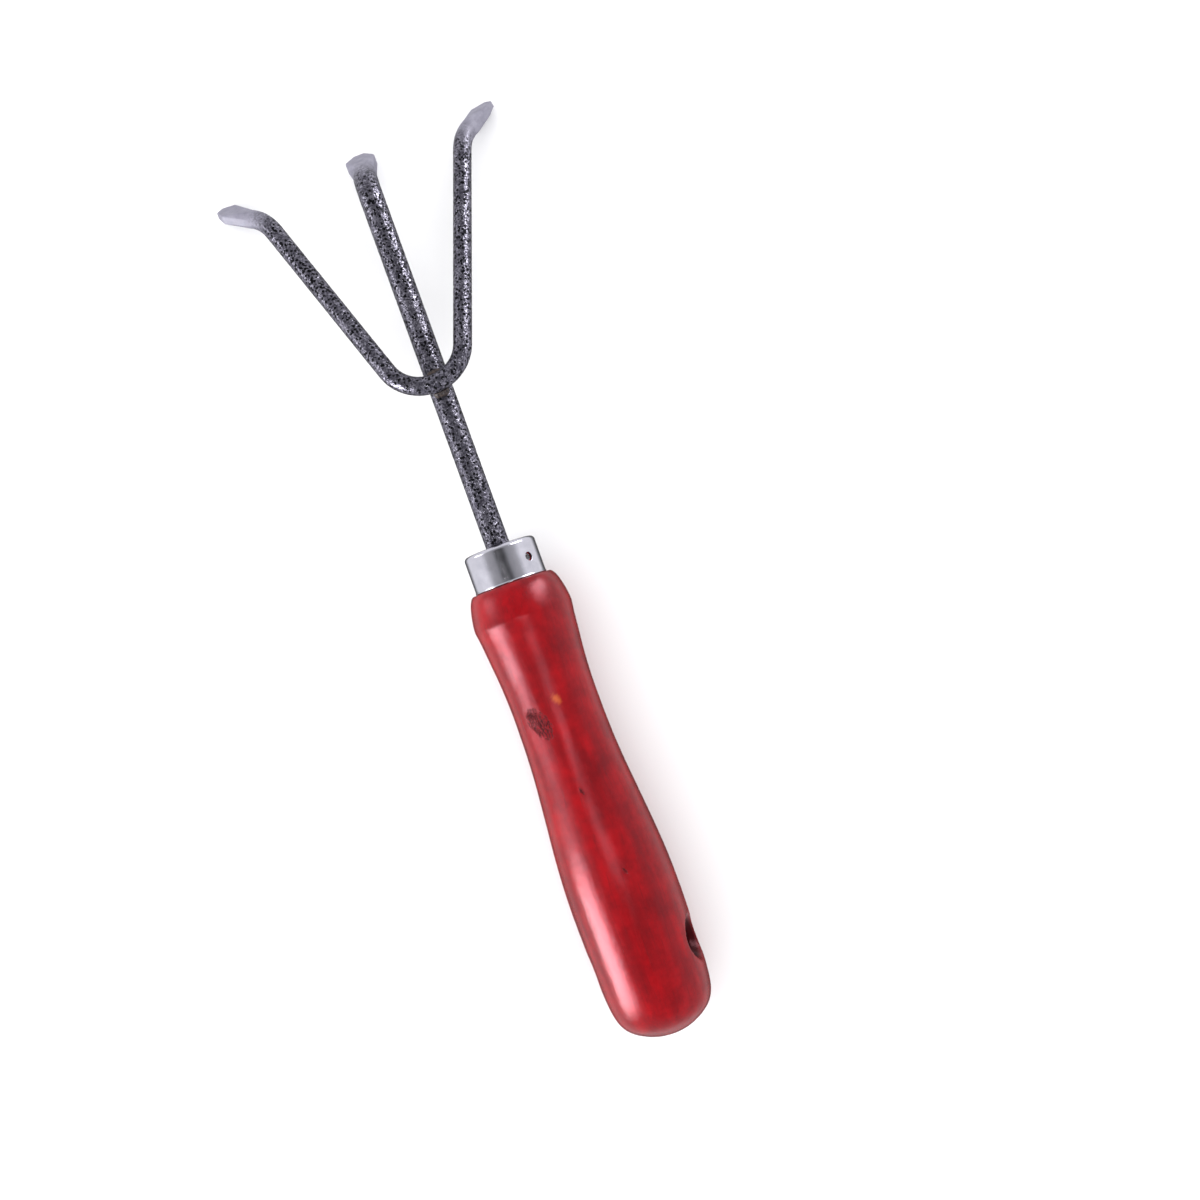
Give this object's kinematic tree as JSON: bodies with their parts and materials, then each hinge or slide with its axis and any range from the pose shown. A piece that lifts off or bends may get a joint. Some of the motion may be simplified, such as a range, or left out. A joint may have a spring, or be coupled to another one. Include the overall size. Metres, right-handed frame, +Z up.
{
  "type": "hand cultivator",
  "caption": "Garden hand cultivator: red turned wooden handle with a hanging hole, aluminium ferrule, straight centre tine, and a bent rod welded across it for the outer tines.",
  "frame": {"origin": "on the surface the tool lies on, right under the handle's axis, halfway along the length; the middle of the width lies about a millimetre to its left", "axes": "+Y from the handle's butt to the tips of the tines, +X to the right seen from above, +Z up out of the back of the tool, away from the side the tips point to"},
  "size_m": [0.0803, 0.2501, 0.0294],
  "materials": {
    "red_lacquered_wood": "red stain under clear gloss lacquer",
    "polished_aluminium": "polished",
    "nail_steel": "bright drawn steel",
    "hammered_paint": "charcoal hammered paint, thin and pale on the tips",
    "painted_weld": "charcoal hammered paint over a weld"
  },
  "bodies": {
    "root": {"handle": "red_lacquered_wood", "ferrule": "polished_aluminium", "ferrule_nail": "nail_steel", "centre_tine": "hammered_paint", "outer_tines": "hammered_paint", "weld_beads": "painted_weld"}
  },
  "joints": []
}
